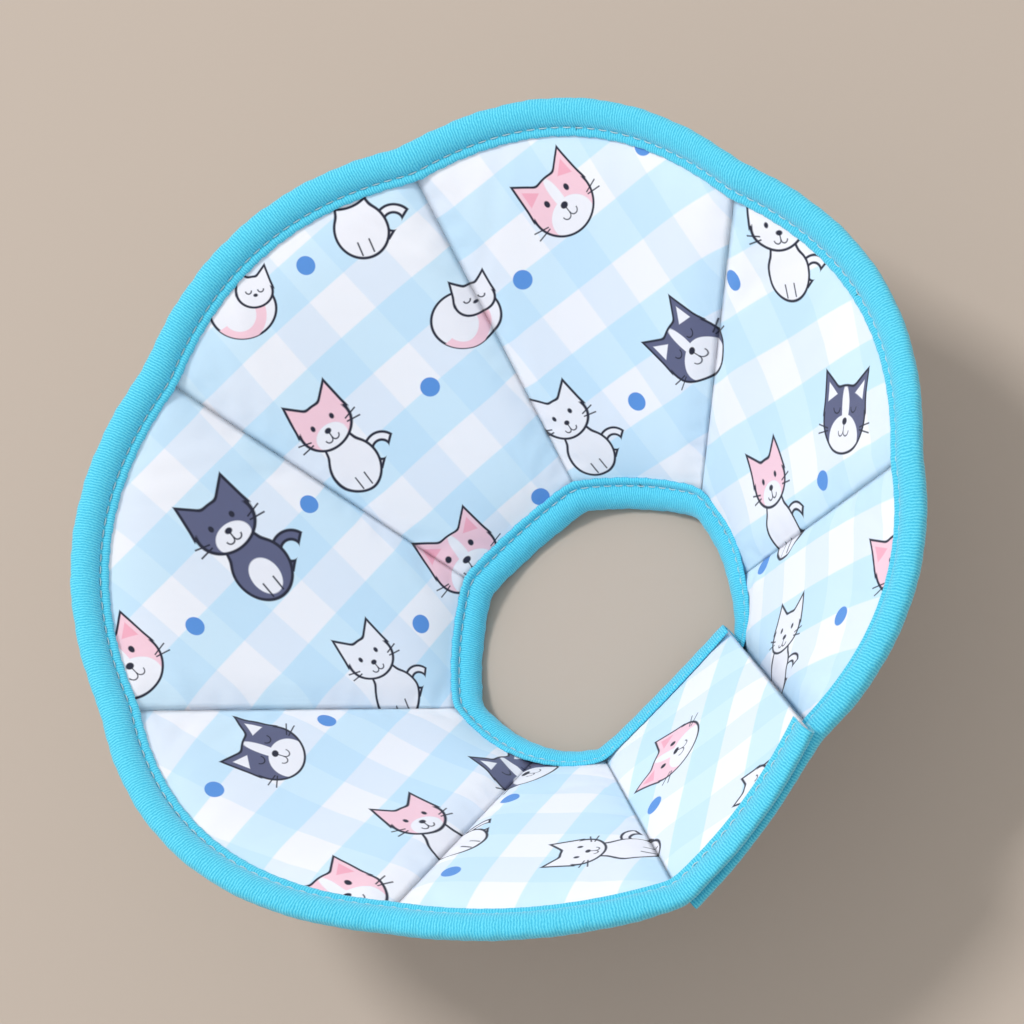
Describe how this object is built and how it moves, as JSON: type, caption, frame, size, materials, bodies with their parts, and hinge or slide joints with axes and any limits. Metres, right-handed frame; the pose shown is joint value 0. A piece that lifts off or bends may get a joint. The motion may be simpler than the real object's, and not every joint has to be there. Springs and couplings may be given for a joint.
{
  "type": "elizabethan collar",
  "caption": "Soft padded pet cone: quilted printed panels wrapped into a wide flared bowl with a neck opening, knit-bound rim and neck edges and a lapped hook-and-loop closure.",
  "frame": {"origin": "centre of the bounding box's bottom face, on the plane the neck ring rests on", "axes": "+Z along the cone's axis from the neck opening to the wide rim, the closure faces -Y, the middle panel is on +Y"},
  "size_m": [0.2506, 0.2494, 0.0944],
  "materials": {
    "printed_cotton_inside": "woven cotton print, matte",
    "printed_cotton_outside": "woven cotton print, matte",
    "foam": "soft foam wadding, matte",
    "knit_binding": "rib knit, brushed",
    "hook_tape": "fine nylon hooks",
    "loop_tape": "brushed loop pile"
  },
  "bodies": {
    "tab": {"tab_foam_pad": "foam", "tab_inner_cover": "printed_cotton_inside", "tab_loop_tape": "loop_tape", "tab_neck_binding": "knit_binding", "tab_outer_cover": "printed_cotton_outside", "tab_rim_binding": "knit_binding"},
    "panel_1": {"panel_1_foam_pad": "foam", "panel_1_inner_cover": "printed_cotton_inside", "panel_1_neck_binding": "knit_binding", "panel_1_outer_cover": "printed_cotton_outside", "panel_1_rim_binding": "knit_binding"},
    "panel_2": {"panel_2_foam_pad": "foam", "panel_2_inner_cover": "printed_cotton_inside", "panel_2_neck_binding": "knit_binding", "panel_2_outer_cover": "printed_cotton_outside", "panel_2_rim_binding": "knit_binding"},
    "panel_3": {"panel_3_foam_pad": "foam", "panel_3_inner_cover": "printed_cotton_inside", "panel_3_neck_binding": "knit_binding", "panel_3_outer_cover": "printed_cotton_outside", "panel_3_rim_binding": "knit_binding"},
    "panel_4": {"panel_4_foam_pad": "foam", "panel_4_inner_cover": "printed_cotton_inside", "panel_4_neck_binding": "knit_binding", "panel_4_outer_cover": "printed_cotton_outside", "panel_4_rim_binding": "knit_binding"},
    "panel_5": {"panel_5_foam_pad": "foam", "panel_5_inner_cover": "printed_cotton_inside", "panel_5_neck_binding": "knit_binding", "panel_5_outer_cover": "printed_cotton_outside", "panel_5_rim_binding": "knit_binding"},
    "panel_6": {"panel_6_foam_pad": "foam", "panel_6_inner_cover": "printed_cotton_inside", "panel_6_neck_binding": "knit_binding", "panel_6_outer_cover": "printed_cotton_outside", "panel_6_rim_binding": "knit_binding"},
    "panel_7": {"panel_7_foam_pad": "foam", "panel_7_inner_cover": "printed_cotton_inside", "panel_7_neck_binding": "knit_binding", "panel_7_outer_cover": "printed_cotton_outside", "panel_7_rim_binding": "knit_binding"},
    "flap": {"flap_foam_pad": "foam", "flap_hook_tape": "hook_tape", "flap_inner_cover": "printed_cotton_inside", "flap_neck_binding": "knit_binding", "flap_outer_cover": "printed_cotton_outside", "flap_rim_binding": "knit_binding"}
  },
  "joints": [
    {"name": "seam_4", "type": "hinge", "parent": "panel_4", "child": "panel_3", "pos_m": [0.02395, 0.02932, 0.0109], "axis": [0.237, 0.7013, 0.6723], "range_deg": [0, 30]},
    {"name": "seam_3", "type": "hinge", "parent": "panel_3", "child": "panel_2", "pos_m": [0.05195, -0.00118, 0.0109], "axis": [0.6273, 0.2955, 0.7206], "range_deg": [0, 30]},
    {"name": "seam_2", "type": "hinge", "parent": "panel_2", "child": "panel_1", "pos_m": [0.04495, -0.03218, 0.0109], "axis": [0.5108, -0.3954, 0.7634], "range_deg": [0, 30]},
    {"name": "seam_1", "type": "hinge", "parent": "panel_1", "child": "tab", "pos_m": [0.02895, -0.05118, 0.0109], "axis": [-0.0217, -0.6564, 0.7541], "range_deg": [0, 40]},
    {"name": "seam_5", "type": "hinge", "parent": "panel_4", "child": "panel_5", "pos_m": [-0.02005, 0.02932, 0.0109], "axis": [-0.237, 0.7013, 0.6723], "range_deg": [-24.5, 0]},
    {"name": "seam_6", "type": "hinge", "parent": "panel_5", "child": "panel_6", "pos_m": [-0.04805, -0.00118, 0.0109], "axis": [-0.6273, 0.2955, 0.7206], "range_deg": [-24.5, 0]},
    {"name": "seam_7", "type": "hinge", "parent": "panel_6", "child": "panel_7", "pos_m": [-0.04105, -0.03218, 0.0109], "axis": [-0.5108, -0.3954, 0.7634], "range_deg": [-24.5, 0]},
    {"name": "seam_8", "type": "hinge", "parent": "panel_7", "child": "flap", "pos_m": [-0.02305, -0.04868, 0.0109], "axis": [-0.0308, -0.699, 0.7144], "range_deg": [0, 25]}
  ],
  "couplings": [
    {"joint": "seam_3", "follows": "seam_4", "ratio": 1},
    {"joint": "seam_2", "follows": "seam_4", "ratio": 1},
    {"joint": "seam_5", "follows": "seam_4", "ratio": -0.8},
    {"joint": "seam_6", "follows": "seam_4", "ratio": -0.8},
    {"joint": "seam_7", "follows": "seam_4", "ratio": -0.8}
  ]
}
